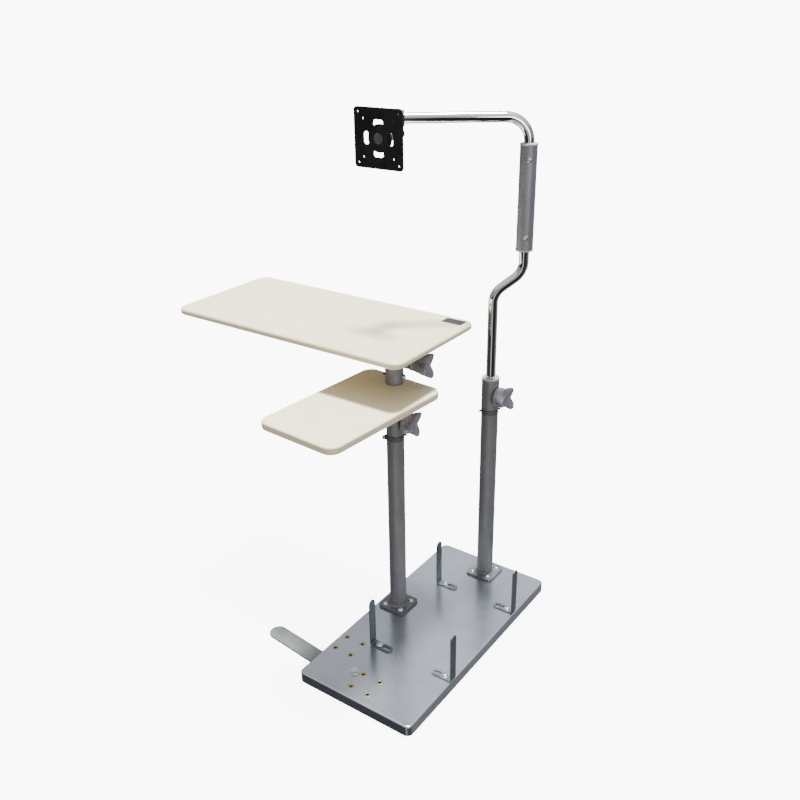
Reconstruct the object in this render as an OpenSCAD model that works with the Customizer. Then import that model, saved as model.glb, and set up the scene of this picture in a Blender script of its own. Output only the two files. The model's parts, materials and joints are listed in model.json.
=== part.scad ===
// Floor stand for a computer: a base board that carries the tower case, a tray column with a
// keyboard tray and a mouse tray, and a mast with a swinging arm for a flat screen.
// The frame's origin is on the floor under the middle of the base board, the front faces -Y
// and the trays reach out to -X. All sizes are in millimetres.

/* [Base board] */
// Width of the base board, along X
base_w = 298; // [290:2:310]
// Depth of the base board, along Y
base_d = 600; // [590:5:620]
// Thickness of the base board
base_t = 25; // [22:1:28]
// Height of the glides under the board
glide_h = 5; // [5:0.5:7]
// Distance between neighbouring column bolts, both ways
flange_pitch = 44; // [42:1:46]

/* [Swing-out foot] */
// Length of the foot from its pivot to its round tip
foot_l = 275; // [255:5:285]
// Width of the foot
foot_w = 42; // [36:1:42]
// Turn of the foot from straight out sideways
foot_turn = 6; // [0:1:10]

/* [Case brackets] */
// Height of each upright above the board
bracket_h = 121; // [90:1:150]
// Width of the bracket strip
bracket_w = 20; // [18:1:24]
// Clear width between the left and the right uprights, at the front pair
bracket_gap = 213; // [208:1:214]

/* [Columns] */
// Outer radius of both columns and of the tray sleeves
column_r = 20; // [19:0.5:20]
// Wall of the columns
column_wall = 2; // [2:0.1:2.2]
// Height of the column tubes' top ends above the floor
column_top = 486; // [480:1:488]
// Place of the tray column across the board
tray_column_x = -103; // [-104:1:-100]
// Place of the tray column along the board
tray_column_y = 18; // [0:1:30]
// Place of the mast column across the board
mast_column_x = 4; // [0:1:8]
// Place of the mast column along the board
mast_column_y = 251; // [248:1:254]

/* [Trays] */
// Width of the keyboard tray, along X
key_tray_w = 635; // [600:1:650]
// Depth of the keyboard tray, along Y
key_tray_d = 300; // [280:1:305]
// Thickness of the keyboard tray
key_tray_t = 16; // [15:0.5:18]
// Height of the keyboard tray's top above the floor
key_tray_top = 727; // [715:1:730]
// Width of the mouse tray
mouse_tray_w = 207; // [195:1:215]
// Depth of the mouse tray
mouse_tray_d = 345; // [330:1:350]
// Thickness of the mouse tray
mouse_tray_t = 18; // [16:0.5:18]
// Height of the mouse tray's top above the floor
mouse_tray_top = 623; // [610:1:624]
// Turn of the mouse tray about its post, in degrees
mouse_tray_turn = -4; // [-10:1:10]

/* [Mast and arm] */
// Outer radius of the mast and arm tubes
mast_r = 11; // [10:0.5:11]
// Side step of the mast's double bend
mast_step = 64; // [60:1:80]
// Height of the arm's axis above the floor
arm_z = 1156; // [1156:1:1200]
// Reach of the arm from its swivel axis to the head's pan axis
arm_reach = 272; // [240:1:300]
// Direction of the double bend, in degrees from +X; the arm points the opposite way
mast_heading = 35.6; // [30:0.1:40]

/* [Screen plate] */
// Side of the square screen plate
plate_size = 120; // [116:1:125]
// Wider hole spacing of the screen plate
plate_pitch_wide = 100; // [100]
// Narrower hole spacing of the screen plate
plate_pitch_narrow = 75; // [75]

/* [Hidden] */
$fn = 64;

// Running gap between a shaft and its hole, and how far cutters pass through a face
gap = 0.05;
cut = 1;

// Heights of the base
base_top = glide_h + base_t;
base_corner = 14;
base_edge = 4;

// Glides
glide_r = 20;
glide_inset_x = 24;
glide_inset_y = 26;

// Inserts, and the middle of each square of four
insert_r = 6;
insert_flange_r = 7.5;
insert_flange_t = 1.2;
insert_h = 18;
insert_bore_r = 3.4;
flange_squares = [
    [tray_column_x, tray_column_y], [mast_column_x, mast_column_y],
    [-2, -248], [-108, -171]
];

// Column feet and their screws
foot_plate = 72;
foot_plate_t = 6;
weld = 3.5;
flange_hole_r = 4.3;

// Swing-out foot
foot_t = 4.5;
pivot_x = -45;
pivot_y = -230.5;
pivot_r = 6;
pivot_head_r = 11;
pivot_head_t = 1.2;
pivot_recess = 1.7;
nut_h = 7;

// Case brackets
bracket_t = 3;
bracket_bend_r = 5;
bracket_foot_l = 52;
bracket_bolt_x = 128.5;
bracket_bolt_reach = 17.5;
bracket_ys = [-131, 147];
bracket_rear_shift = 3.5;
bracket_bolt_r = 4;
slot_start = 12;
slot_run = 30;
bracket_left_x = bracket_bolt_x + bracket_bolt_reach - bracket_gap;

// Column tops
bore_r = column_r - column_wall;
washer_t = 1.2;
ring_r = 20.6;
ring_h = 10;
ring_bottom = column_top + washer_t;
ring_mid = ring_bottom + ring_h / 2;
ring_top = ring_bottom + ring_h + washer_t;
ring_screw_turn = 47;
pad_washer_t = 3.5;
lock_nut_h = 3;
bush_depth = 40;

// Tray post
post_r = 17;
post_wall = 2;
post_bottom = 200;
post_top = 700;
post_bush_h = 40;

// Hubs under the trays
hub_plate_t = 4;
hub_wall_r = column_r;
key_hub_bottom = 625;
mouse_hub_bottom = ring_top + 0.5;
boss_r = 10;
key_boss_l = 19.5;
short_boss_l = 0.5;
key_boss_z = 671;
mouse_boss_z = 530;
mast_boss_z = 533;
key_knob_turn = 10;
mouse_knob_turn = 8;
mast_knob_turn = -8;
key_plate = [140, 110];
mouse_plate = [90, 60];
key_screw_at = [55, 40];
mouse_screw_at = [36, 21];

// Trays, measured from the post's axis
key_right = 95;
key_back = 180;
mouse_right = 106.5;
mouse_back = 34;
key_corner = 25;
mouse_corner = 26;
key_edge = 6.5;
mouse_edge = 4.5;
key_bottom = key_tray_top - key_tray_t;
mouse_bottom = mouse_tray_top - mouse_tray_t;
label = [51, 28.5, 1];
label_inset = [14.5, 13.5];

// Knobs and their studs, which have a flange between the boss and the knob
stud_r = 4;
stud_grip = 16;
flange_r = 20;
key_flange_r = 12;
flange_t = 2;
knob_gap = 2.5;
knob_r = 31;
knob_l = 32;
knob_drum_r = 23.5;
knob_drum_h = 11;
knob_lobe_r = 8.5;
knob_core_r = 16.5;
key_neck_l = 12;
key_neck_r = 13;
key_screw_turn = 10;
key_screw_z = key_hub_bottom + 15;
key_wing_turn = 30;
mouse_wing_turn = 17;
mast_wing_turn = 35;

// Mast collar and its cap
collar_r = 20.5;
cap_r = 20.8;
collar_top = 572;
cap_h = 4.5;
spigot_depth = 40;

// Distances from each clamped tube's axis to its knob's back
key_knob_back = hub_wall_r + key_boss_l + knob_gap;
mouse_knob_back = hub_wall_r + short_boss_l + knob_gap;
mast_knob_back = collar_r + short_boss_l + knob_gap;

// Mast, its double bend, and the joint sleeve
tube_wall = 1.5;
seam_l = 2;
seam_in = 0.3;
mast_bottom = 256;
bend_start = 757;
bend_r = 45;
bend_turn = acos(0.6);
bend_straight = (mast_step - 2 * bend_r * (1 - cos(bend_turn))) / sin(bend_turn);
bend_rise = 2 * bend_r * sin(bend_turn) + bend_straight * cos(bend_turn);
joint_r = 18.5;
joint_bore_r = joint_r - column_wall;
joint_bottom = 880;
joint_top = 1099;
joint_plug_l = 60;
joint_lip = 4;
joint_lip_r = 19.4;
joint_screw_in = 28;
mast_end = joint_bottom + 85;
arm_start = joint_top - 98;
arm_bend_r = 50;
arm_tail = 18;

// Head at the arm's end
block_r = 16;
block_l = 30;
neck_r = 13;
yoke_top = arm_z - 25;
yoke_t = 10;
yoke_w = 30;
yoke_reach = 40;
tongue_w = 10;
tongue_r = 11;
tilt_z = arm_z - 32;
ear_t = 4;
ear_r = 12;
pad_y = 18;
pad_t = 5;
pad_r = 28;
plate_t = 4;
plate_gap = 0.5;
turn_r = 5;
turn_head_r = 11;
turn_head_t = 2;
screen_hole_r = 2.2;
m8_r = 4;

// ---- shared shapes ----

// Ring with a round bore, standing on z = 0
module ring(h, r_out, r_in) {
    difference() {
        cylinder(h = h, r = r_out);
        translate([0, 0, -cut]) cylinder(h = h + 2 * cut, r = r_in);
    }
}

// Flat rectangle with round corners, centred
module round_rect(w, d, r) {
    square([w - 2 * r, d], center = true);
    square([w, d - 2 * r], center = true);
    for (x = [-1, 1], y = [-1, 1]) translate([x * (w / 2 - r), y * (d / 2 - r)]) circle(r);
}

// Edge profile of a slab: reach is its run outwards, with the rim rounded at the top and,
// when both is true, at the bottom
module rim(reach, t, e, both) {
    low = both ? e : 0;
    square([reach - e, t]);
    translate([0, low]) square([reach, t - e - low]);
    translate([reach - e, t - e]) circle(e);
    if (both) translate([reach - e, e]) circle(e);
}

// Slab with round corners of radius r and a rounded rim of radius e, centred, on z = 0
module slab(w, d, t, r, e, both) {
    for (x = [0, 1], y = [0, 1]) mirror([x, 0, 0]) mirror([0, y, 0])
        translate([w / 2 - r, d / 2 - r, 0]) rotate_extrude(angle = 90) rim(r, t, e, both);
    for (x = [0, 1]) mirror([x, 0, 0])
        translate([w / 2 - r, d / 2 - r, 0]) rotate([90, 0, 0])
            linear_extrude(d - 2 * r) rim(r, t, e, both);
    for (y = [0, 1]) mirror([0, y, 0])
        translate([-w / 2 + r, d / 2 - r, 0]) rotate([90, 0, 90])
            linear_extrude(w - 2 * r) rim(r, t, e, both);
    translate([-w / 2 + r, -d / 2 + r, 0]) cube([w - 2 * r, d - 2 * r, t]);
}

// Places its children at the four corners of a rectangle
module corners(dx, dy) {
    for (x = [-1, 1], y = [-1, 1]) translate([x * dx, y * dy, 0]) children();
}

// Socket-head screw with a domed head: the shank hangs below z = 0, the head stands on it
module button_screw(shank_r, shank_l, head_r, head_h, socket_r) {
    translate([0, 0, -shank_l]) cylinder(h = shank_l, r = shank_r);
    difference() {
        intersection() {
            cylinder(h = head_h, r = head_r);
            translate([0, 0, -head_r * 0.55]) sphere(r = head_r * 1.142);
        }
        translate([0, 0, head_h / 2]) cylinder(h = head_h, r = socket_r, $fn = 6);
    }
}

// Hexagon-head bolt: the shank hangs below z = 0, the head stands on it
module hex_bolt(shank_r, shank_l, across_r, head_h) {
    translate([0, 0, -shank_l]) cylinder(h = shank_l, r = shank_r);
    cylinder(h = head_h, r = across_r, $fn = 6);
}

// Turns +Z to point away from a column's axis at an angle from +X, at height z
module outward(at, turn, z) {
    translate([at[0], at[1], z]) rotate([0, 0, turn]) rotate([0, 90, 0]) children();
}

// Boss of length l on a collar for a clamp knob
module boss(wall_r, l) {
    translate([0, 0, wall_r - column_wall]) cylinder(h = l + column_wall, r = boss_r);
}

// Clamp knob with three wings standing on a round drum, its back at z = 0 and one wing at an
// angle
module knob(wing_turn) {
    color([0.44, 0.43, 0.45]) difference() {
        union() {
            cylinder(h = knob_drum_h, r = knob_drum_r);
            translate([0, 0, knob_drum_h]) rotate([0, 0, wing_turn])
                linear_extrude(knob_l - knob_drum_h) {
                    circle(knob_core_r);
                    for (a = [0, 120, 240]) rotate([0, 0, a])
                        translate([knob_r - knob_lobe_r, 0]) circle(knob_lobe_r);
                }
        }
        translate([0, 0, knob_l - 5]) cylinder(h = 5 + cut, r = knob_r * 0.3);
        translate([0, 0, -cut]) cylinder(h = stud_grip + cut, r = stud_r);
    }
}

// Threaded stud of a clamp knob, from its tip on the clamped tube into the knob, with a flange
// under the knob's back, which is at radius back
module stud(tip_r, back, grip, flange) {
    color([0.1, 0.1, 0.1]) {
        translate([0, 0, tip_r]) cylinder(h = back + grip - tip_r, r = stud_r - gap);
        translate([0, 0, back - flange_t]) cylinder(h = flange_t, r = flange);
    }
}

// A 90 degree or smaller bend of tube that leaves z = 0 upwards and leans towards +X
module bend_up(r, turn) {
    translate([r, 0, 0]) rotate([0, 0, 180]) rotate([90, 0, 0])
        rotate_extrude(angle = turn) translate([r, 0]) difference() {
            circle(mast_r);
            circle(mast_r - tube_wall);
        }
}

// Bridge inside the wall where two lengths of bent tube meet, so that they are one piece
module seam() {
    translate([0, 0, -seam_l / 2]) ring(seam_l, mast_r - seam_in, mast_r - tube_wall + seam_in);
}

// ---- base ----

module base_board() {
    color([0.66, 0.68, 0.72]) difference() {
        translate([0, 0, glide_h]) slab(base_w, base_d, base_t, base_corner, base_edge, false);
        for (p = flange_squares) translate([p[0], p[1], 0])
            corners(flange_pitch / 2, flange_pitch / 2) insert_pocket();
        for (p = bracket_bolt_places()) translate([p[0], p[1], 0]) insert_pocket();
        translate([pivot_x, pivot_y, glide_h - cut]) cylinder(h = base_t + 2 * cut, r = pivot_r);
    }
}

module insert_pocket() {
    translate([0, 0, base_top - insert_h]) cylinder(h = insert_h + cut, r = insert_r);
    translate([0, 0, base_top - insert_flange_t])
        cylinder(h = insert_flange_t + cut, r = insert_flange_r);
}

function bracket_bolt_places() = [
    for (y = bracket_ys) [bracket_bolt_x, y],
    for (y = bracket_ys) [bracket_left_x + bracket_bolt_reach, y]
];

module base_glides() {
    color([0.2, 0.2, 0.2]) {
        corners(base_w / 2 - glide_inset_x, base_d / 2 - glide_inset_y)
            cylinder(h = glide_h, r = glide_r);
        cylinder(h = glide_h, r = glide_r);
    }
}

module insert_nut() {
    difference() {
        union() {
            translate([0, 0, base_top - insert_h]) cylinder(h = insert_h, r = insert_r);
            translate([0, 0, base_top - insert_flange_t])
                cylinder(h = insert_flange_t, r = insert_flange_r);
        }
        translate([0, 0, base_top - insert_h - cut])
            cylinder(h = insert_h + 2 * cut, r = insert_bore_r);
    }
}

module insert_nuts() {
    color([0.78, 0.62, 0.32]) {
        for (p = flange_squares) translate([p[0], p[1], 0])
            corners(flange_pitch / 2, flange_pitch / 2) insert_nut();
        for (p = bracket_bolt_places()) translate([p[0], p[1], 0]) insert_nut();
    }
}

module column_feet() {
    color([0.42, 0.43, 0.45]) for (i = [0, 1])
        translate([flange_squares[i][0], flange_squares[i][1], base_top]) difference() {
            union() {
                linear_extrude(foot_plate_t) round_rect(foot_plate, foot_plate, 9);
                translate([0, 0, foot_plate_t]) rotate_extrude() polygon([
                    [column_r - 1, 0], [column_r + weld, 0], [column_r, weld], [column_r - 1, weld]
                ]);
            }
            corners(flange_pitch / 2, flange_pitch / 2)
                translate([0, 0, -cut]) cylinder(h = foot_plate_t + 2 * cut, r = flange_hole_r);
            translate([0, 0, foot_plate_t]) cylinder(h = weld + cut, r = column_r);
            translate([0, 0, -cut]) cylinder(h = foot_plate_t + 2 * cut, r = bore_r - 3);
        }
}

module flange_screws() {
    color([0.7, 0.7, 0.71]) for (i = [0, 1])
        translate([flange_squares[i][0], flange_squares[i][1], base_top + foot_plate_t])
            corners(flange_pitch / 2, flange_pitch / 2)
                button_screw(insert_bore_r - gap, 20, 7, 4.4, 2.9);
}

module foot_pivot_bolt() {
    color([0.6, 0.6, 0.62]) translate([pivot_x, pivot_y, 0]) {
        translate([0, 0, 0.3]) cylinder(h = pivot_head_t, r = pivot_head_r);
        translate([0, 0, 0.3]) cylinder(h = base_top + nut_h, r = pivot_r - gap);
    }
}

module foot_pivot_nut() {
    color([0.7, 0.7, 0.71]) translate([pivot_x, pivot_y, base_top]) difference() {
        union() {
            cylinder(h = 1.5, r = 12);
            cylinder(h = nut_h, r = 10, $fn = 6);
        }
        translate([0, 0, -cut]) cylinder(h = nut_h + 2 * cut, r = pivot_r);
    }
}

module swing_foot() {
    color([0.62, 0.64, 0.66]) translate([pivot_x, pivot_y, 0]) rotate([0, 0, 180 - foot_turn])
        difference() {
            linear_extrude(foot_t) {
                circle(foot_w / 2);
                translate([0, -foot_w / 2]) square([foot_l - foot_w / 2, foot_w]);
                translate([foot_l - foot_w / 2, 0]) circle(foot_w / 2);
            }
            translate([0, 0, -cut]) cylinder(h = foot_t + 2 * cut, r = pivot_r);
            translate([0, 0, -cut]) cylinder(h = pivot_recess + cut, r = pivot_head_r + 0.4);
        }
}

// ---- case brackets ----

// L-bracket with its upright's inner face on x = 0 and its slotted foot running to -X
module bracket() {
    color([0.52, 0.56, 0.56]) difference() {
        union() {
            translate([bracket_t, 0, 0]) rotate([0, -90, 0]) linear_extrude(bracket_t) {
                translate([bracket_bend_r, -bracket_w / 2])
                    square([bracket_h - bracket_bend_r - bracket_w / 2, bracket_w]);
                translate([bracket_h - bracket_w / 2, 0]) circle(bracket_w / 2);
            }
            translate([-bracket_foot_l + bracket_w / 2, -bracket_w / 2, 0])
                cube([bracket_foot_l - bracket_w / 2 + bracket_t - bracket_bend_r,
                    bracket_w, bracket_t]);
            translate([-bracket_foot_l + bracket_w / 2, 0, 0])
                cylinder(h = bracket_t, r = bracket_w / 2);
            translate([bracket_t - bracket_bend_r, bracket_w / 2, bracket_bend_r])
                rotate([90, 90, 0]) bracket_bend();
        }
        translate([-slot_start - slot_run, 0, -cut]) linear_extrude(bracket_t + 2 * cut) {
            circle(bracket_bolt_r + 0.1);
            translate([0, -bracket_bolt_r - 0.1]) square([slot_run, 2 * bracket_bolt_r + 0.2]);
            translate([slot_run, 0]) circle(bracket_bolt_r + 0.1);
        }
    }
}

// The bracket's quarter-round bend, one strip width long
module bracket_bend() {
    intersection() {
        ring(bracket_w, bracket_bend_r, bracket_bend_r - bracket_t);
        cube([bracket_bend_r + 1, bracket_bend_r + 1, bracket_w]);
    }
}

module bracket_front_right() {
    translate([bracket_bolt_x + bracket_bolt_reach, bracket_ys[0], base_top]) bracket();
}

module bracket_rear_right() {
    translate([bracket_bolt_x + bracket_bolt_reach - bracket_rear_shift, bracket_ys[1], base_top])
        bracket();
}

module bracket_front_left() {
    translate([bracket_left_x, bracket_ys[0], base_top]) mirror([1, 0, 0]) bracket();
}

module bracket_rear_left() {
    translate([bracket_left_x, bracket_ys[1], base_top]) mirror([1, 0, 0]) bracket();
}

module bracket_bolts() {
    color([0.72, 0.72, 0.73]) for (p = bracket_bolt_places())
        translate([p[0], p[1], base_top + bracket_t + gap + 1.6]) {
            button_screw(bracket_bolt_r - 0.9, 20, 6.5, 4, 2.4);
            translate([0, 0, -bracket_t - 1.6]) cylinder(h = bracket_t + 1.6, r = bracket_bolt_r);
        }
}

module bracket_washers() {
    color([0.78, 0.78, 0.79]) for (p = bracket_bolt_places())
        translate([p[0], p[1], base_top + bracket_t + gap]) ring(1.6, 8.5, bracket_bolt_r);
}

// ---- columns ----

module column_tube(at) {
    color([0.43, 0.44, 0.46]) translate([at[0], at[1], base_top + foot_plate_t])
        ring(column_top - base_top - foot_plate_t, column_r, bore_r);
}

module tray_column_tube() { column_tube(flange_squares[0]); }

module mast_column_tube() { column_tube(flange_squares[1]); }

module tray_column_bush() {
    color([0.12, 0.12, 0.12]) translate([tray_column_x, tray_column_y, column_top - bush_depth])
        ring(ring_top - column_top + bush_depth, bore_r, post_r + gap);
}

module column_rings() {
    color([0.3, 0.3, 0.32]) for (i = [0, 1]) difference() {
        translate([flange_squares[i][0], flange_squares[i][1], ring_bottom])
            ring(ring_h, ring_r, bore_r);
        for (turn = [0, 180]) outward(flange_squares[i], ring_screw_turn + turn, ring_mid)
            cylinder(h = ring_r + cut, r = 2.5);
    }
}

module ring_washers() {
    color([0.1, 0.1, 0.1]) for (i = [0, 1], z = [column_top, ring_top - washer_t])
        translate([flange_squares[i][0], flange_squares[i][1], z])
            ring(washer_t, column_r, bore_r);
    color([0.1, 0.1, 0.1]) outward(flange_squares[0], ring_screw_turn + 180, ring_mid)
        translate([0, 0, ring_r]) ring(pad_washer_t, 6, 2.5);
}

module ring_screws() {
    color([0.82, 0.82, 0.83])
        outward(flange_squares[0], ring_screw_turn + 180, ring_mid)
            translate([0, 0, ring_r + pad_washer_t])
                lock_screw(2.5 - gap, ring_r + pad_washer_t - bore_r - gap, 5.2);
}

// Socket screw with a lock nut under its head, standing on z = 0
module lock_screw(shank_r, shank_l, head_r) {
    cylinder(h = lock_nut_h, r = head_r, $fn = 6);
    translate([0, 0, lock_nut_h]) button_screw(shank_r, shank_l + lock_nut_h, head_r, 4.2, 2);
}

module ring_set_screws() {
    color([0.1, 0.1, 0.1]) {
        outward(flange_squares[0], ring_screw_turn, ring_mid) set_screw(bore_r);
        for (turn = [0, 180]) outward(flange_squares[1], ring_screw_turn + turn, ring_mid)
            set_screw(bore_r);
    }
}

// Grub screw with a hexagon socket; its tip is just outside radius tip_r
module set_screw(tip_r) {
    difference() {
        translate([0, 0, tip_r + gap]) cylinder(h = column_wall + 6, r = 2.5 - gap);
        translate([0, 0, tip_r + column_wall + 5]) cylinder(h = 3, r = 1.3, $fn = 6);
    }
}

module mast_collar() {
    color([0.42, 0.43, 0.45]) difference() {
        union() {
            translate([mast_column_x, mast_column_y, ring_top])
                cylinder(h = collar_top - ring_top, r = collar_r);
            translate([mast_column_x, mast_column_y, column_top - spigot_depth])
                cylinder(h = spigot_depth + ring_top - column_top, r = bore_r);
            outward(flange_squares[1], mast_knob_turn, mast_boss_z) boss(collar_r, short_boss_l);
        }
        translate([mast_column_x, mast_column_y, column_top - spigot_depth - cut])
            cylinder(h = 200, r = mast_r + gap);
        outward(flange_squares[1], mast_knob_turn, mast_boss_z) cylinder(h = 50, r = stud_r);
    }
}

module mast_collar_cap() {
    color([0.72, 0.74, 0.76]) translate([mast_column_x, mast_column_y, collar_top])
        ring(cap_h, cap_r, mast_r + gap);
}

// ---- tray post ----

module post_tube() {
    color([0.5, 0.51, 0.53]) translate([tray_column_x, tray_column_y, post_bottom])
        ring(post_top - post_bottom, post_r, post_r - post_wall);
}

module post_guide_bush() {
    color([0.12, 0.12, 0.12]) translate([tray_column_x, tray_column_y, post_bottom])
        ring(post_bush_h, bore_r - gap, post_r);
}

// ---- mouse tray ----

module mouse_hub_collar() {
    color([0.44, 0.45, 0.47]) difference() {
        union() {
            translate([tray_column_x, tray_column_y, mouse_hub_bottom])
                cylinder(h = mouse_bottom - hub_plate_t - mouse_hub_bottom, r = hub_wall_r);
            outward(flange_squares[0], mouse_knob_turn, mouse_boss_z)
                boss(hub_wall_r, short_boss_l);
        }
        translate([tray_column_x, tray_column_y, mouse_hub_bottom - cut])
            cylinder(h = 200, r = post_r + gap);
        outward(flange_squares[0], mouse_knob_turn, mouse_boss_z) cylinder(h = 50, r = stud_r);
    }
}

module hub_plate(size, screws, hole_r) {
    difference() {
        linear_extrude(hub_plate_t) round_rect(size[0], size[1], 8);
        translate([0, 0, -cut]) {
            corners(screws[0], screws[1]) cylinder(h = hub_plate_t + 2 * cut, r = 2.8);
            if (hole_r > 0) cylinder(h = hub_plate_t + 2 * cut, r = hole_r);
        }
    }
}

// Places its children in the mouse tray's own frame, with the post's axis at x = y = 0
module at_mouse_tray(z) {
    translate([tray_column_x, tray_column_y, z]) rotate([0, 0, mouse_tray_turn]) children();
}

module mouse_hub_plate() {
    color([0.44, 0.45, 0.47]) at_mouse_tray(mouse_bottom - hub_plate_t)
        hub_plate(mouse_plate, mouse_screw_at, post_r + gap);
}

// Pan-head screw driven upwards: the head hangs below z = 0
module tray_screw() {
    mirror([0, 0, 1]) button_screw(2.5, 12, 4.6, 2.8, 1.6);
}

module mouse_hub_screws() {
    color([0.7, 0.7, 0.71]) at_mouse_tray(mouse_bottom - hub_plate_t)
        corners(mouse_screw_at[0], mouse_screw_at[1]) tray_screw();
}

module mouse_tray() {
    color([0.9, 0.88, 0.8]) at_mouse_tray(mouse_bottom) difference() {
        translate([mouse_right - mouse_tray_w / 2, mouse_back - mouse_tray_d / 2, 0])
            slab(mouse_tray_w, mouse_tray_d, mouse_tray_t, mouse_corner, mouse_edge, true);
        translate([0, 0, -cut]) {
            cylinder(h = mouse_tray_t + 2 * cut, r = post_r + 1.5);
            corners(mouse_screw_at[0], mouse_screw_at[1]) cylinder(h = 9 + cut, r = 2.5);
        }
    }
}

module mouse_knob() {
    outward(flange_squares[0], mouse_knob_turn, mouse_boss_z)
        translate([0, 0, mouse_knob_back]) knob(mouse_wing_turn);
}

module mouse_knob_stud() {
    outward(flange_squares[0], mouse_knob_turn, mouse_boss_z)
        stud(post_r + gap, mouse_knob_back, stud_grip, flange_r);
}

// ---- keyboard tray ----

module key_hub_sleeve() {
    color([0.46, 0.48, 0.5]) difference() {
        union() {
            translate([tray_column_x, tray_column_y, key_hub_bottom])
                cylinder(h = key_bottom - hub_plate_t - key_hub_bottom, r = hub_wall_r);
            outward(flange_squares[0], key_knob_turn, key_boss_z) boss(hub_wall_r, key_boss_l);
        }
        translate([tray_column_x, tray_column_y, key_hub_bottom - cut])
            cylinder(h = 200, r = post_r + gap);
        outward(flange_squares[0], key_knob_turn, key_boss_z) cylinder(h = 50, r = stud_r);
        for (turn = [0, 180])
            outward(flange_squares[0], key_screw_turn + turn, key_screw_z) cylinder(h = 50, r = 3);
    }
}

module key_hub_plate() {
    color([0.44, 0.45, 0.47])
        translate([tray_column_x, tray_column_y, key_bottom - hub_plate_t])
            hub_plate(key_plate, key_screw_at, 0);
}

module key_hub_screws() {
    color([0.7, 0.7, 0.71])
        translate([tray_column_x, tray_column_y, key_bottom - hub_plate_t])
            corners(key_screw_at[0], key_screw_at[1]) tray_screw();
}

module key_lock_screw() {
    color([0.84, 0.84, 0.85]) outward(flange_squares[0], key_screw_turn, key_screw_z)
        translate([0, 0, hub_wall_r]) {
            cylinder(h = 1.2, r = 6.5);
            translate([0, 0, 1.2]) lock_screw(3 - gap, hub_wall_r - post_r, 5.2);
        }
}

module key_set_screw() {
    color([0.1, 0.1, 0.1]) outward(flange_squares[0], key_screw_turn + 180, key_screw_z)
        translate([0, 0, post_r + gap]) cylinder(h = hub_wall_r - post_r + 5, r = 3 - gap);
}

module key_tray() {
    color([0.92, 0.91, 0.86]) translate([tray_column_x, tray_column_y, key_bottom]) difference() {
        translate([key_right - key_tray_w / 2, key_back - key_tray_d / 2, 0])
            slab(key_tray_w, key_tray_d, key_tray_t, key_corner, key_edge, true);
        translate([0, 0, -cut])
            corners(key_screw_at[0], key_screw_at[1]) cylinder(h = 9 + cut, r = 2.5);
        label_block(cut);
    }
}

// The label plate's own block, in the tray's frame, made higher by extra
module label_block(extra) {
    translate([key_right - label_inset[0] - label[0], key_back - label_inset[1] - label[1],
        key_tray_t - label[2]]) cube([label[0], label[1], label[2] + extra]);
}

module label_plate() {
    color([0.13, 0.13, 0.15]) translate([tray_column_x, tray_column_y, key_bottom])
        label_block(0);
}

module key_knob() {
    outward(flange_squares[0], key_knob_turn, key_boss_z)
        translate([0, 0, key_knob_back]) {
            translate([0, 0, key_neck_l]) knob(key_wing_turn);
            color([0.44, 0.43, 0.45]) ring(key_neck_l, key_neck_r, stud_r);
        }
}

module key_knob_stud() {
    outward(flange_squares[0], key_knob_turn, key_boss_z)
        stud(post_r + gap, key_knob_back, key_neck_l + stud_grip, key_flange_r);
}

// ---- mast ----

module mast_knob() {
    outward(flange_squares[1], mast_knob_turn, mast_boss_z)
        translate([0, 0, mast_knob_back]) knob(mast_wing_turn);
}

module mast_knob_stud() {
    outward(flange_squares[1], mast_knob_turn, mast_boss_z)
        stud(mast_r + gap, mast_knob_back, stud_grip, flange_r);
}

module mast_guide_bush() {
    color([0.12, 0.12, 0.12]) translate([mast_column_x, mast_column_y, mast_bottom - 6])
        difference() {
            cylinder(h = 36, r = bore_r - gap);
            translate([0, 0, 6]) cylinder(h = 36, r = mast_r + gap);
            translate([0, 0, -cut]) cylinder(h = 8, r = 5);
        }
}

// Places its children on the mast column's axis, with +X towards the double bend's step
module at_mast(z) {
    translate([mast_column_x, mast_column_y, z]) rotate([0, 0, mast_heading]) children();
}

// Places its children on the arm's swivel axis, with +X along the arm
module at_arm(z) {
    at_mast(z) translate([mast_step, 0, 0]) rotate([0, 0, 180]) children();
}

module mast_tube() {
    color([0.85, 0.85, 0.86]) at_mast(0) {
        translate([0, 0, mast_bottom])
            ring(bend_start - mast_bottom, mast_r, mast_r - tube_wall);
        translate([0, 0, bend_start]) {
            bend_up(bend_r, bend_turn);
            translate([bend_r * (1 - cos(bend_turn)), 0, bend_r * sin(bend_turn)])
                rotate([0, bend_turn, 0]) {
                    ring(bend_straight, mast_r, mast_r - tube_wall);
                    for (z = [0, bend_straight]) translate([0, 0, z]) seam();
                }
            translate([mast_step, 0, bend_rise]) rotate([0, 180, 0]) bend_up(bend_r, bend_turn);
        }
        translate([mast_step, 0, bend_start + bend_rise])
            ring(mast_end - bend_start - bend_rise, mast_r, mast_r - tube_wall);
    }
}

module joint_sleeve() {
    color([0.47, 0.49, 0.51]) difference() {
        at_arm(joint_bottom) ring(joint_top - joint_bottom, joint_r, joint_bore_r);
        joint_screw_holes();
    }
}

module joint_screw_holes() {
    for (z = [joint_bottom + joint_screw_in, joint_top - joint_screw_in])
        at_arm(z) rotate([0, 0, 90]) rotate([0, 90, 0]) cylinder(h = 30, r = 2.5);
}

// Plug in one end of the joint sleeve, with its lip below z = 0 and its body above
module joint_plug(bore) {
    ring(joint_plug_l, joint_bore_r, bore);
    translate([0, 0, -joint_lip]) ring(joint_lip, joint_lip_r, bore);
}

module joint_cap_lower() {
    color([0.8, 0.81, 0.82]) difference() {
        at_arm(joint_bottom) joint_plug(mast_r);
        joint_screw_holes();
    }
}

module joint_cap_upper() {
    color([0.8, 0.81, 0.82]) difference() {
        at_arm(joint_top) mirror([0, 0, 1]) joint_plug(mast_r + gap);
        joint_screw_holes();
    }
}

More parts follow.
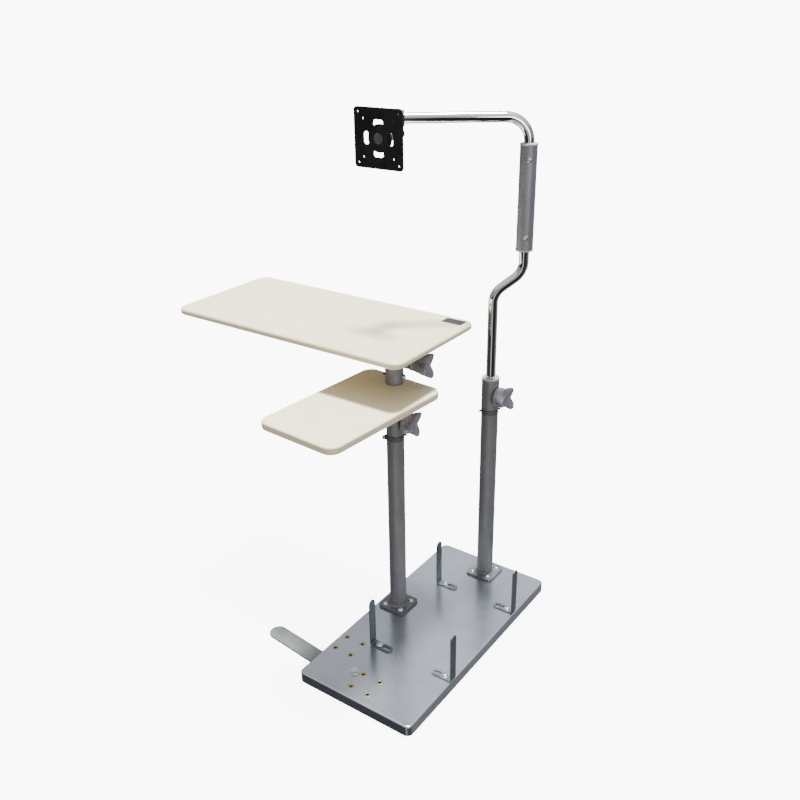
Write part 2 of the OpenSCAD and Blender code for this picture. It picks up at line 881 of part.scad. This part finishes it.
// Slug between the ends of the two tubes: the arm's tube turns on it
module joint_spacer() {
    color([0.1, 0.1, 0.1]) at_arm(mast_end + gap)
        cylinder(h = arm_start - mast_end - 2 * gap, r = joint_bore_r - 0.5);
}

module joint_screws() {
    color([0.86, 0.86, 0.87])
        for (z = [joint_bottom + joint_screw_in, joint_top - joint_screw_in])
            at_arm(z) rotate([0, 0, 90]) rotate([0, 90, 0])
                translate([0, 0, joint_r])
                    button_screw(2.5 - gap, joint_r - mast_r - 2 * gap, 5.4, 3.4, 2);
}

// ---- arm ----

module arm_tube() {
    color([0.85, 0.85, 0.86]) at_arm(0) {
        translate([0, 0, arm_start])
            ring(arm_z - arm_bend_r - arm_start, mast_r, mast_r - tube_wall);
        translate([0, 0, arm_z - arm_bend_r]) bend_up(arm_bend_r, 90);
        translate([arm_bend_r, 0, arm_z]) rotate([0, 90, 0])
            ring(arm_reach + arm_tail - arm_bend_r, mast_r, mast_r - tube_wall);
    }
}

module arm_end_cap() {
    color([0.1, 0.1, 0.1]) at_arm(arm_z) translate([arm_reach + arm_tail, 0, 0])
        rotate([0, 90, 0]) {
            cylinder(h = 3, r = mast_r);
            translate([0, 0, -14]) cylinder(h = 14, r = mast_r - tube_wall - gap);
        }
}

module head_block() {
    color([0.16, 0.16, 0.17]) at_arm(arm_z) translate([arm_reach, 0, 0]) difference() {
        union() {
            translate([-block_l / 2, 0, 0]) rotate([0, 90, 0]) cylinder(h = block_l, r = block_r);
            translate([0, 0, yoke_top - arm_z]) cylinder(h = arm_z - yoke_top, r = neck_r);
            cylinder(h = block_r + 2, r = 7);
        }
        translate([-block_l / 2 - cut, 0, 0]) rotate([0, 90, 0])
            cylinder(h = block_l + 2 * cut, r = mast_r + gap);
        translate([0, 0, yoke_top - arm_z - cut]) cylinder(h = 12 + cut, r = m8_r);
        cylinder(h = 30, r = 3);
    }
}

module head_block_screw() {
    color([0.7, 0.7, 0.71]) at_arm(arm_z) translate([arm_reach, 0, mast_r + gap]) difference() {
        cylinder(h = block_r + 2 - mast_r - 1, r = 3 - gap);
        translate([0, 0, block_r - mast_r - 2]) cylinder(h = 6, r = 1.6, $fn = 6);
    }
}

function head_place() = [
    mast_column_x + (mast_step - arm_reach) * cos(mast_heading),
    mast_column_y + (mast_step - arm_reach) * sin(mast_heading)
];

// Places its children on the head's pan axis, square to the frame
module at_head(z) {
    translate([head_place()[0], head_place()[1], z]) children();
}

module pan_bolt() {
    color([0.7, 0.7, 0.71]) at_head(yoke_top - yoke_t) rotate([180, 0, 0])
        hex_bolt(m8_r - gap, yoke_t + 11, 7.2, 5.3);
}

module pan_yoke() {
    color([0.18, 0.18, 0.19]) difference() {
        union() {
            at_head(yoke_top - yoke_t) {
                cylinder(h = yoke_t - gap, r = yoke_w / 2);
                translate([-yoke_w / 2, -24, 0]) cube([yoke_w, 24, yoke_t - gap]);
            }
            at_head(tilt_z) {
                translate([-tongue_w / 2, -yoke_reach, -tongue_r / 2 + 2])
                    cube([tongue_w, yoke_reach - 20, tongue_r - 2]);
                translate([-tongue_w / 2, -yoke_reach, 0]) rotate([0, 90, 0])
                    cylinder(h = tongue_w, r = tongue_r);
            }
        }
        at_head(yoke_top - yoke_t - cut) cylinder(h = yoke_t + 2 * cut, r = m8_r);
        at_head(tilt_z) translate([-20, -yoke_reach, 0]) rotate([0, 90, 0])
            cylinder(h = 40, r = m8_r);
    }
}

module tilt_bracket() {
    ear_x = tongue_w / 2 + 0.2;
    color([0.18, 0.18, 0.19]) at_head(tilt_z) translate([0, -yoke_reach, 0]) difference() {
        union() {
            for (side = [0, 1]) mirror([side, 0, 0]) translate([ear_x, 0, 0]) {
                rotate([0, 90, 0]) cylinder(h = ear_t, r = ear_r);
                translate([0, -pad_y, -ear_r]) cube([ear_t, pad_y, 2 * ear_r]);
            }
            translate([0, -pad_y, 0]) rotate([90, 0, 0]) cylinder(h = pad_t, r = pad_r);
        }
        translate([-20, 0, 0]) rotate([0, 90, 0]) cylinder(h = 40, r = m8_r);
        translate([0, -pad_y + cut, 0]) rotate([90, 0, 0])
            cylinder(h = pad_t + 2 * cut, r = turn_r);
    }
}

module tilt_bolt() {
    grip = tongue_w / 2 + 0.2 + ear_t;
    color([0.7, 0.7, 0.71]) at_head(tilt_z) translate([grip, -yoke_reach, 0]) rotate([0, 90, 0])
        hex_bolt(m8_r - gap, 2 * grip + 8, 7.2, 5.3);
}

module tilt_nut() {
    grip = tongue_w / 2 + 0.2 + ear_t;
    color([0.7, 0.7, 0.71]) at_head(tilt_z) translate([-grip, -yoke_reach, 0])
        rotate([0, -90, 0]) difference() {
            cylinder(h = 6.5, r = 7.2, $fn = 6);
            translate([0, 0, -cut]) cylinder(h = 6.5 + 2 * cut, r = m8_r);
        }
}

// Places its children at the middle of the pad's front face, with +Z towards the screen
module at_pad() {
    at_head(tilt_z) translate([0, -yoke_reach - pad_y - pad_t, 0]) rotate([90, 0, 0]) children();
}

module turn_bolt() {
    color([0.7, 0.7, 0.71]) at_pad() {
        translate([0, 0, -pad_t - 2]) cylinder(h = pad_t + 2 + plate_gap + plate_t - 2.4,
            r = turn_r - gap);
        translate([0, 0, plate_gap + plate_t - 2.4]) cylinder(h = turn_head_t, r = turn_head_r);
    }
}

module screen_plate() {
    color([0.15, 0.15, 0.16]) at_pad() translate([0, 0, plate_gap]) difference() {
        linear_extrude(plate_t) round_rect(plate_size, plate_size, 8);
        translate([0, 0, -cut]) cylinder(h = plate_t + 2 * cut, r = turn_r);
        translate([0, 0, plate_t - 2.5]) cylinder(h = 3, r = turn_head_r + 0.4);
        for (pitch = [plate_pitch_wide, plate_pitch_narrow]) corners(pitch / 2, pitch / 2)
            translate([0, 0, -cut]) cylinder(h = plate_t + 2 * cut, r = screen_hole_r);
        for (a = [0:90:270]) rotate([0, 0, a]) translate([0, 30, -cut])
            linear_extrude(plate_t + 2 * cut) round_rect(26, 14, 6);
    }
}

// ---- all sub-parts ----

base_board();
base_glides();
insert_nuts();
column_feet();
flange_screws();
tray_column_tube();
mast_column_tube();
tray_column_bush();
column_rings();
ring_washers();
ring_screws();
ring_set_screws();
mast_collar();
mast_collar_cap();
bracket_bolts();
bracket_washers();
foot_pivot_bolt();
foot_pivot_nut();
swing_foot();
bracket_front_right();
bracket_rear_right();
bracket_front_left();
bracket_rear_left();
post_tube();
post_guide_bush();
mouse_hub_collar();
mouse_hub_plate();
mouse_hub_screws();
mouse_tray();
mouse_knob();
mouse_knob_stud();
key_hub_sleeve();
key_hub_plate();
key_hub_screws();
key_lock_screw();
key_set_screw();
key_tray();
label_plate();
key_knob();
key_knob_stud();
mast_knob();
mast_knob_stud();
mast_guide_bush();
mast_tube();
joint_sleeve();
joint_cap_lower();
joint_cap_upper();
joint_spacer();
joint_screws();
arm_tube();
arm_end_cap();
head_block();
head_block_screw();
pan_bolt();
pan_yoke();
tilt_bracket();
tilt_bolt();
tilt_nut();
turn_bolt();
screen_plate();
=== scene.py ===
"""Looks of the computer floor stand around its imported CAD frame: metres, +Z up, front at -Y."""

import json
import math

import bmesh
import bpy
from mathutils import Matrix, Vector


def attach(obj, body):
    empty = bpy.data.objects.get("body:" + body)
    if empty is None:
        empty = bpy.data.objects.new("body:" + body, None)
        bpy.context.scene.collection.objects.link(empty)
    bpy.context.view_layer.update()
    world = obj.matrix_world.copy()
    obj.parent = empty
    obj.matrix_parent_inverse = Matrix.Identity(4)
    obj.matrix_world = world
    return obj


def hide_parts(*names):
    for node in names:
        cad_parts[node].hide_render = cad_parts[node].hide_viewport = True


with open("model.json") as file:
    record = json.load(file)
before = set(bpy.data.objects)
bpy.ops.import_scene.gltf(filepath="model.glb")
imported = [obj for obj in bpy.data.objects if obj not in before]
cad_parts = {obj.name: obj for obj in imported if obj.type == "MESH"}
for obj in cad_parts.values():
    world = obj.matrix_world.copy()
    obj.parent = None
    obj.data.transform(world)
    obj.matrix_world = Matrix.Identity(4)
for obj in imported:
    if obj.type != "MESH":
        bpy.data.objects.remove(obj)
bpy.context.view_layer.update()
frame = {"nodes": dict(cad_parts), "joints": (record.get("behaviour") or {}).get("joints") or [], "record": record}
nodes = frame["nodes"]

MM = 0.001


# ---- camera ----

CAMERA_AT = (0.9295, -1.4017, 1.4010)
CAMERA_HEADING = (-0.52798, 0.73614, -0.42347)
CAMERA_ROLL = -0.89
CAMERA_LENS = 39.88


def add_camera():
    """The camera looks down at the stand from the front right."""
    data = bpy.data.cameras.new("camera")
    data.lens, data.sensor_width = CAMERA_LENS, 36
    camera = bpy.data.objects.new("camera", data)
    bpy.context.scene.collection.objects.link(camera)
    aim = Vector(CAMERA_HEADING).to_track_quat("-Z", "Y").to_matrix().to_4x4()
    roll = Matrix.Rotation(math.radians(CAMERA_ROLL), 4, "Z")
    camera.matrix_world = Matrix.Translation(CAMERA_AT) @ aim @ roll
    bpy.context.scene.camera = camera


add_camera()


# ---- light and floor ----

def srgb(r, g, b):
    """A colour given as 0 to 255 display values, as the linear values that a shader takes."""
    def linear(v):
        v /= 255
        return v / 12.92 if v <= 0.04045 else ((v + 0.055) / 1.055) ** 2.4
    return (linear(r), linear(g), linear(b), 1)


def ramp(tree, value, stops):
    """A colour ramp over value, with (position, colour) stops."""
    node = tree.nodes.new("ShaderNodeValToRGB")
    elements = node.color_ramp.elements
    elements[0].position, elements[0].color = stops[0]
    elements[1].position, elements[1].color = stops[-1]
    for position, color in stops[1:-1]:
        elements.new(position).color = color
    tree.links.new(value, node.inputs["Fac"])
    return node.outputs["Color"]


def calc(tree, operation, a, b=0.0):
    """One arithmetic node: a and b are sockets or numbers."""
    node = tree.nodes.new("ShaderNodeMath")
    node.operation = operation
    for socket, value in zip(node.inputs, (a, b)):
        if isinstance(value, (int, float)):
            socket.default_value = value
        else:
            tree.links.new(value, socket)
    return node.outputs[0]


def grey(v):
    return (v, v, v, 1)


STRIP_TOWARD = (0.369, -0.930)  # heading of the pale strip, across and along
FLOOR_GLOW = 8.0  # strength of the floor's and the backdrop's own light


def add_world():
    """Pale studio above. Below the horizon it is dark in front, with a thin pale strip, and pale
    behind, so that polished tubes get dark bands around a bright line. Seen straight, it is a
    backdrop as pale as the floor."""
    world = bpy.data.worlds.new("studio")
    bpy.context.scene.world = world
    world.use_nodes = True
    tree = world.node_tree
    direction = tree.nodes.new("ShaderNodeTexCoord").outputs["Generated"]
    split = tree.nodes.new("ShaderNodeSeparateXYZ")
    tree.links.new(direction, split.inputs[0])
    x, y, z = split.outputs
    front = Vector(STRIP_TOWARD).normalized()
    toward = calc(
        tree, "ADD", calc(tree, "MULTIPLY", x, front.x), calc(tree, "MULTIPLY", y, front.y))
    squares = calc(tree, "ADD", calc(tree, "MULTIPLY", x, x), calc(tree, "MULTIPLY", y, y))
    flat = calc(tree, "SQRT", squares)
    cosine = calc(tree, "DIVIDE", toward, flat)
    share = calc(tree, "MULTIPLY", calc(tree, "ADD", cosine, 1.0), 0.5)
    below = ramp(tree, share, [
        (0.0, grey(0.38)), (0.42, grey(0.26)), (0.60, grey(0.05)), (0.984, grey(0.02)),
        (0.993, grey(0.6)), (1.0, grey(0.7))])
    above = ramp(tree, z, [
        (0.0, grey(0.36)), (0.3, grey(0.4)), (0.5, grey(0.93)), (0.8, grey(1.2)), (1.0, grey(2.2))])
    mix = tree.nodes.new("ShaderNodeMix")
    mix.data_type = "RGBA"
    level = ramp(tree, calc(tree, "ADD", z, 0.5), [(0.47, grey(0)), (0.5, grey(1))])
    tree.links.new(level, mix.inputs["Factor"])
    tree.links.new(below, mix.inputs["A"])
    tree.links.new(above, mix.inputs["B"])
    backdrop = tree.nodes.new("ShaderNodeMix")
    backdrop.data_type = "RGBA"
    seen = tree.nodes.new("ShaderNodeLightPath").outputs["Is Camera Ray"]
    tree.links.new(seen, backdrop.inputs["Factor"])
    tree.links.new(mix.outputs["Result"], backdrop.inputs["A"])
    backdrop.inputs["B"].default_value = grey(FLOOR_GLOW)
    tree.links.new(backdrop.outputs["Result"], tree.nodes["Background"].inputs["Color"])


def add_sun(name, heading, strength, spread, glossy=True):
    """Even light that travels along heading, spread degrees wide."""
    data = bpy.data.lights.new(name, "SUN")
    data.energy, data.angle = strength, math.radians(spread)
    light = bpy.data.objects.new(name, data)
    light.rotation_euler = Vector(heading).to_track_quat("-Z", "Y").to_euler()
    light.visible_glossy = glossy
    bpy.context.scene.collection.objects.link(light)


def add_floor():
    """A wide pale floor that takes shadows but neither blocks nor bounces light: a weak light from
    below does that evenly."""
    bpy.ops.mesh.primitive_plane_add(size=600)
    floor = bpy.context.object
    floor.name = "floor"
    floor.visible_glossy = False
    floor.visible_diffuse = False
    floor.visible_shadow = False
    material = bpy.data.materials.new("floor")
    material.use_nodes = True
    shader = material.node_tree.nodes["Principled BSDF"]
    shader.inputs["Base Color"].default_value = grey(0.3)
    shader.inputs["Emission Color"].default_value = grey(1)
    shader.inputs["Emission Strength"].default_value = FLOOR_GLOW
    shader.inputs["Roughness"].default_value = 1
    shader.inputs["Specular IOR Level"].default_value = 0
    floor.data.materials.append(material)


add_world()
add_sun("overhead", (0.02, -0.13, -1), 15.0, 8)
add_sun("front_fill", (-0.826, 0.565, -0.1), 1.2, 30)
add_sun("floor_bounce", (-0.4, 0.5, 1.0), 1.7, 100, glossy=False)
add_floor()


# ---- materials ----

class Finish:
    """A principled material that is put together from layers of procedural texture in the piece's
    own space, so that the texture moves with the piece."""

    def __init__(self, name, metallic=0.0, specular=0.5):
        self.material = bpy.data.materials.new(name)
        self.material.use_nodes = True
        self.tree = self.material.node_tree
        self.shader = self.tree.nodes["Principled BSDF"]
        self.shader.inputs["Metallic"].default_value = metallic
        self.shader.inputs["Specular IOR Level"].default_value = specular
        self.place = self.tree.nodes.new("ShaderNodeTexCoord").outputs["Object"]

    def link(self, output, socket):
        self.tree.links.new(output, socket)

    def stretched(self, stretch):
        """The piece's own coordinates, with the texture drawn out along an axis."""
        node = self.tree.nodes.new("ShaderNodeMapping")
        node.inputs["Scale"].default_value = stretch
        self.link(self.place, node.inputs["Vector"])
        return node.outputs["Vector"]

    def noise(self, size, detail=3.0, stretch=(1, 1, 1)):
        """Noise whose patches are about size metres across."""
        node = self.tree.nodes.new("ShaderNodeTexNoise")
        node.inputs["Scale"].default_value = 1 / size
        node.inputs["Detail"].default_value = detail
        self.link(self.stretched(stretch), node.inputs["Vector"])
        return node.outputs["Fac"]

    def cells(self, size):
        """Cells about size metres across, each with a shade of its own."""
        node = self.tree.nodes.new("ShaderNodeTexVoronoi")
        node.inputs["Scale"].default_value = 1 / size
        self.link(self.place, node.inputs["Vector"])
        return node.outputs["Color"]

    def color(self, value, dark, light, low=0.35, high=0.65):
        """The base colour runs from dark to light as value goes from low to high."""
        shade = ramp(self.tree, value, [(low, dark), (high, light)])
        self.link(shade, self.shader.inputs["Base Color"])

    def mix(self, factor, a, b, mode="MIX"):
        node = self.tree.nodes.new("ShaderNodeMix")
        node.data_type, node.blend_type = "RGBA", mode
        for socket, value in (("Factor", factor), ("A", a), ("B", b)):
            if isinstance(value, (int, float, tuple)):
                node.inputs[socket].default_value = value
            else:
                self.link(value, node.inputs[socket])
        return node.outputs["Result"]

    def roughness(self, value, low, high):
        node = self.tree.nodes.new("ShaderNodeMapRange")
        node.inputs["To Min"].default_value = low
        node.inputs["To Max"].default_value = high
        self.link(value, node.inputs["Value"])
        self.link(node.outputs["Result"], self.shader.inputs["Roughness"])

    def relief(self, value, height):
        """Adds bumps height metres high."""
        node = self.tree.nodes.new("ShaderNodeBump")
        node.inputs["Strength"].default_value = 1
        node.inputs["Distance"].default_value = height
        self.link(value, node.inputs["Height"])
        self.link(node.outputs["Normal"], self.shader.inputs["Normal"])

    def upward(self):
        """How far the surface faces up, from -1 to 1."""
        normal = self.tree.nodes.new("ShaderNodeNewGeometry").outputs["Normal"]
        split = self.tree.nodes.new("ShaderNodeSeparateXYZ")
        self.link(normal, split.inputs[0])
        return split.outputs["Z"]


def powder_coat(name, dark, light):
    """Fine orange-peel paint with slight cloudiness."""
    f = Finish(name, metallic=0.45, specular=0.4)
    f.color(f.noise(40 * MM), dark, light)
    f.roughness(f.noise(12 * MM), 0.34, 0.42)
    f.relief(f.noise(0.9 * MM, 2), 0.045 * MM)
    return f.material


def moulded(name, dark, light):
    """Moulded plastic with an eroded grain."""
    f = Finish(name, specular=0.45)
    f.color(f.noise(18 * MM, 4), dark, light)
    f.roughness(f.noise(6 * MM), 0.4, 0.55)
    f.relief(f.noise(0.5 * MM, 2), 0.05 * MM)
    return f.material


def rubber(name):
    """Dull black rubber with a rough skin."""
    f = Finish(name, specular=0.25)
    f.color(f.noise(8 * MM), srgb(24, 24, 25), srgb(38, 38, 39))
    f.roughness(f.noise(4 * MM), 0.6, 0.8)
    f.relief(f.noise(0.7 * MM), 0.06 * MM)
    return f.material


def plated(name, dark, light, low=0.22, high=0.38):
    """Plated or blackened metal with a slightly mottled gloss."""
    f = Finish(name, metallic=1)
    f.color(f.noise(3 * MM, 4), dark, light)
    f.roughness(f.noise(2 * MM), low, high)
    f.relief(f.noise(0.6 * MM), 0.01 * MM)
    return f.material


def chrome(name):
    """Polished plating with faint wiping marks round the tube."""
    f = Finish(name, metallic=1)
    f.color(f.noise(60 * MM), srgb(214, 215, 218), srgb(232, 233, 235))
    f.roughness(f.noise(9 * MM, 5, stretch=(1, 1, 4)), 0.035, 0.10)
    return f.material


def galvanised(name):
    """Zinc-dipped strip with a faint spangle and rolling lines."""
    f = Finish(name, metallic=0.9)
    spangle = f.cells(5 * MM)
    shade = ramp(f.tree, spangle, [(0.2, srgb(100, 111, 113)), (0.8, srgb(116, 127, 129))])
    rolled = f.noise(1.2 * MM, 3, stretch=(1, 1, 0.06))
    lines = ramp(f.tree, rolled, [(0.3, grey(0.82)), (0.7, grey(1.0))])
    f.link(f.mix(1.0, shade, lines, "MULTIPLY"), f.shader.inputs["Base Color"])
    f.roughness(spangle, 0.28, 0.46)
    f.relief(f.noise(0.8 * MM), 0.015 * MM)
    return f.material


def brass(name):
    """Turned brass."""
    f = Finish(name, metallic=1)
    f.color(f.noise(2 * MM, 4), srgb(150, 134, 98), srgb(186, 172, 138))
    f.roughness(f.noise(1.5 * MM), 0.25, 0.42)
    return f.material


def silver_board():
    """Silver membrane on the base board: metal flakes under a satin skin."""
    f = Finish("silver_membrane", metallic=0.92, specular=0.5)
    flakes = f.cells(0.8 * MM)
    clouds = f.noise(90 * MM, 4)
    base = ramp(f.tree, clouds, [(0.3, srgb(162, 169, 182)), (0.7, srgb(172, 178, 190))])
    sparkle = ramp(f.tree, flakes, [(0.1, grey(0.86)), (0.9, grey(1.0))])
    f.link(f.mix(1.0, base, sparkle, "MULTIPLY"), f.shader.inputs["Base Color"])
    f.roughness(f.noise(30 * MM), 0.20, 0.27)
    f.relief(f.noise(1.4 * MM, 3), 0.02 * MM)
    return f.material


def tray_skin(name, top_dark, top_light, side, under):
    """Cream membrane on the trays, with painted shade as a deeper tone where it turns down at the rim, and deeper
    and warmer under the board.
    """
    f = Finish(name, specular=0.4)
    top = ramp(f.tree, f.noise(70 * MM, 4), [(0.3, top_dark), (0.7, top_light)])
    speck = ramp(f.tree, f.noise(1.6 * MM, 2), [(0.35, grey(0.965)), (0.65, grey(1.0))])
    # The rim mask paints shade: the deeper side tone goes where the surface turns down, away from the light above.
    rim = ramp(f.tree, f.upward(), [(0.25, grey(1)), (0.85, grey(0))])
    # Under the board a warmer tone is chosen so that the light it bounces warms the shade on the tray below.
    downward = calc(f.tree, "MULTIPLY", f.upward(), -1.0)
    below = ramp(f.tree, downward, [(0.4, grey(0)), (0.9, grey(1))])
    skin = f.mix(below, f.mix(rim, top, side), under)
    f.link(f.mix(1.0, skin, speck, "MULTIPLY"), f.shader.inputs["Base Color"])
    f.roughness(f.noise(25 * MM), 0.34, 0.48)
    f.relief(f.noise(1.1 * MM, 3), 0.02 * MM)
    return f.material


def label_skin():
    """Blank dark label with a faint lengthwise brushing."""
    f = Finish("label", specular=0.5)
    f.color(f.noise(2 * MM, 4, stretch=(0.1, 1, 1)), srgb(30, 28, 33), srgb(44, 42, 48))
    f.roughness(f.noise(6 * MM), 0.45, 0.55)
    f.relief(f.noise(1 * MM), 0.01 * MM)
    return f.material


SKINS = {
    "board_membrane": silver_board(),
    "glide": rubber("glide_rubber"),
    "insert": brass("insert_brass"),
    "foot_steel": powder_coat("foot_paint", srgb(88, 89, 92), srgb(96, 97, 100)),
    "column": powder_coat("column_paint", srgb(114, 115, 117), srgb(120, 121, 123)),
    "zinc": plated("zinc_plate", srgb(178, 179, 182), srgb(212, 213, 216)),
    "black_screw": plated("black_oxide", srgb(22, 22, 23), srgb(40, 40, 42), 0.35, 0.5),
    "bush": moulded("bush_black", srgb(20, 20, 20), srgb(30, 30, 30)),
    "ring": moulded("ring_plastic", srgb(62, 62, 65), srgb(76, 76, 79)),
    "collar_cap": moulded("collar_cap_plastic", srgb(140, 142, 150), srgb(152, 154, 162)),
    "bracket": galvanised("galvanised_strip"),
    "foot_strip": powder_coat("foot_strip_paint", srgb(104, 109, 111), srgb(113, 118, 120)),
    "post": powder_coat("post_paint", srgb(128, 129, 132), srgb(134, 135, 138)),
    # side is the painted shade on the tray rims; under is the warmer underside tone for warm bounce light.
    "tray": tray_skin(
        "tray_membrane", srgb(210, 200, 169), srgb(216, 207, 178), side=srgb(208, 197, 165),
        under=srgb(236, 212, 152)),
    "label": label_skin(),
    "knob": moulded("knob_plastic", srgb(108, 107, 114), srgb(122, 121, 129)),
    "chrome": chrome("chrome_plate"),
    "sleeve": powder_coat("sleeve_paint", srgb(124, 125, 132), srgb(131, 132, 139)),
    "sleeve_cap": moulded("sleeve_cap_plastic", srgb(142, 145, 152), srgb(154, 157, 164)),
    "head_black": powder_coat("head_paint", srgb(28, 28, 30), srgb(38, 38, 40)),
    "plug_black": moulded("plug_plastic", srgb(18, 18, 19), srgb(28, 28, 29)),
}


# ---- the CAD nodes ----

def soften(node, width):
    """Rounds the sharp edges of a CAD node's shown mesh by width metres."""
    for polygon in node.data.polygons:
        polygon.use_smooth = True
    weld = node.modifiers.new("weld", "WELD")
    weld.merge_threshold = 0.002 * MM
    bevel = node.modifiers.new("bevel", "BEVEL")
    bevel.width, bevel.segments = width, 2
    bevel.limit_method, bevel.angle_limit = "ANGLE", math.radians(38)
    node.modifiers.new("normals", "WEIGHTED_NORMAL")


EDGE_ROUNDING = {
    "default": 0.4 * MM,
    "base_board": 0.8 * MM,
    "swing_foot": 0.7 * MM,
    "screen_plate": 0.5 * MM,
    "head_block": 0.8 * MM,
    "pan_yoke": 0.8 * MM,
    "tilt_bracket": 0.6 * MM,
    "mast_collar_cap": 0.8 * MM,
    "joint_cap_lower": 0.8 * MM,
    "joint_cap_upper": 0.8 * MM,
    "label_plate": 0.15 * MM,
}
SLOTS = {part["node"]: part["material_slot"] for part in frame["record"]["subparts"]}


def dress_nodes():
    """Gives each CAD node its skin and rounded edges."""
    for name, node in nodes.items():
        node.data.materials.clear()
        node.data.materials.append(SKINS[SLOTS[name]])
        soften(node, EDGE_ROUNDING.get(name, EDGE_ROUNDING["default"]))


dress_nodes()


# ---- clamp knobs ----

KNOB_L = 32 * MM  # from the drum's back to the wing tips
WING_R = 30.9 * MM
VALLEY_R = 15 * MM
OPENING_L = 14 * MM  # how far past the drum the valleys reach their full depth
RIM_ROUND = 1.6 * MM
RECESS = 5.5 * MM  # how far the rim lies back between the wings
DISH = 9 * MM
DRUM_R = 23.5 * MM
DRUM_END = 9 * MM
CONE_R = 12.5 * MM  # the keyboard tray's knob is a cone from its neck on
CONE_START = -8 * MM
KEY_NECK = 12 * MM
POINTS = 120  # round the knob


def ease(t):
    """Smooth step from 0 to 1."""
    t = max(0.0, min(1.0, t))
    return t * t * (3 - 2 * t)


def knob_ring(z, turn, drum_r, start):
    """Radii and heights round the knob: a round drum up to start that opens into three wings, with
    the rim between the wings set back from their tips."""
    open_by = (z - start) / (KNOB_L - start)
    valley = drum_r + (VALLEY_R - drum_r) * ease((z - start) / OPENING_L)
    tip = drum_r + (WING_R - drum_r) * ease(open_by * 1.1)
    ring = []
    for i in range(POINTS):
        lobe = (0.5 + 0.5 * math.cos(3 * (2 * math.pi * i / POINTS - turn))) ** 1.2
        ring.append((valley + (tip - valley) * lobe, z - RECESS * (1 - lobe) * ease(open_by)))
    return ring


def knob_rings(turn, neck, drum_r, start):
    """Rings of (radius, height) pairs from the knob's back, round its rim, to its dished face."""
    rings = [[(drum_r - 1.4 * MM, -neck)] * POINTS]
    for z, inset in ((0.45 * MM, 0.4 * MM), (1.4 * MM, 0.0)):
        rings.append([(drum_r - inset, z - neck)] * POINTS)
    steps = 16
    top = KNOB_L - RIM_ROUND
    for k in range(steps + 1):
        rings.append(knob_ring(start + (top - start) * k / steps, turn, drum_r, start))
    edge = rings[-1]
    for k in range(1, 5):
        a = math.pi / 2 * k / 4
        inset, rise = RIM_ROUND * (1 - math.cos(a)), RIM_ROUND * math.sin(a)
        rings.append([(r - inset, z + rise) for r, z in edge])
    face = KNOB_L - DISH
    for share in (0.94, 0.86, 0.75, 0.62, 0.48, 0.36, 0.28):
        rings.append([((r - RIM_ROUND) * share, face + (z + RIM_ROUND - face) * ease(share))
                      for r, z in edge])
    for r, z in ((4.6, 0.1), (4.4, 0.9), (3.9, 1.2), (2.6, 1.2), (2.3, 0.2), (0.8, 0.1)):
        rings.append([(r * MM, face + z * MM)] * POINTS)
    return rings


def add_knob(name, joint_name, wing_turn, body, drum_r, start, neck=0.0):
    """One moulded knob on the axis of its own joint, standing where the CAD knob stands."""
    joint = next(j for j in frame["joints"] if j["name"] == joint_name)
    axis, hub = Vector(joint["axis"]), Vector(joint["pos_m"])
    up = Vector((0, 0, 1))
    side = up.cross(axis)
    back = min((v.co - hub).dot(axis) for v in nodes[name].data.vertices) + neck
    mesh = bmesh.new()
    loops = []
    for ring in knob_rings(math.radians(wing_turn - 90), neck, drum_r, start):
        loop = []
        for i, (r, z) in enumerate(ring):
            a = 2 * math.pi * i / POINTS
            across = side * math.cos(a) + up * math.sin(a)
            loop.append(mesh.verts.new(hub + axis * (back + z) + across * r))
        loops.append(loop)
    for low, high in zip(loops, loops[1:]):
        for i in range(POINTS):
            j = (i + 1) % POINTS
            mesh.faces.new((low[i], low[j], high[j], high[i]))
    mesh.faces.new(list(reversed(loops[0])))
    mesh.faces.new(loops[-1])
    for face in mesh.faces:
        face.smooth = len(face.verts) == 4
    bmesh.ops.recalc_face_normals(mesh, faces=mesh.faces)
    data = bpy.data.meshes.new(name + "_moulded")
    mesh.to_mesh(data)
    mesh.free()
    data.materials.append(SKINS["knob"])
    knob = bpy.data.objects.new(name + "_moulded", data)
    bpy.context.scene.collection.objects.link(knob)
    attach(knob, body)
    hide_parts(name)


add_knob("key_knob", "key_knob_turn", 30, "key_clamp", CONE_R, CONE_START, KEY_NECK)
add_knob("mouse_knob", "mouse_knob_turn", 17, "mouse_clamp", DRUM_R, DRUM_END)
add_knob("mast_knob", "mast_knob_turn", 35, "mast_clamp", DRUM_R, DRUM_END)
